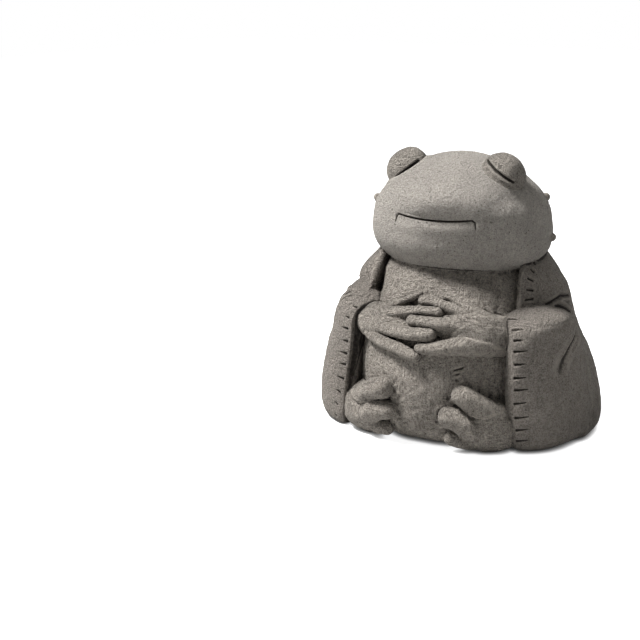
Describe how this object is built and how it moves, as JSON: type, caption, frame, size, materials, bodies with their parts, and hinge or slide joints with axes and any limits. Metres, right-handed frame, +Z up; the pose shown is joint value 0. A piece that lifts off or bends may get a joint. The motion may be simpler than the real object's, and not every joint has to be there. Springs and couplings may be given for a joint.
{
  "type": "frog figurine",
  "caption": "Seated cast-stone frog in an open robe, eyes closed, hands laced over its belly: a free-standing garden or shelf ornament.",
  "frame": {"origin": "middle of the flat base, on the ground", "axes": "+Z up, the frog faces -Y, its own left is +X"},
  "size_m": [0.2806, 0.2403, 0.2731],
  "materials": {
    "cast_stone": "matt, fine pitted grain, warm grey"
  },
  "bodies": {
    "root": {"head": "cast_stone", "head_warts": "cast_stone", "left_eyelid": "cast_stone", "left_foot": "cast_stone", "left_hand": "cast_stone", "left_index_finger": "cast_stone", "left_little_finger": "cast_stone", "left_lower_toe": "cast_stone", "left_middle_finger": "cast_stone", "left_middle_toe": "cast_stone", "left_sleeve": "cast_stone", "left_thumb": "cast_stone", "left_upper_toe": "cast_stone", "right_eyelid": "cast_stone", "right_foot": "cast_stone", "right_hand": "cast_stone", "right_index_finger": "cast_stone", "right_little_finger": "cast_stone", "right_lower_toe": "cast_stone", "right_middle_finger": "cast_stone", "right_middle_toe": "cast_stone", "right_sleeve": "cast_stone", "right_thumb": "cast_stone", "right_upper_toe": "cast_stone", "robe": "cast_stone", "torso": "cast_stone"}
  },
  "joints": []
}
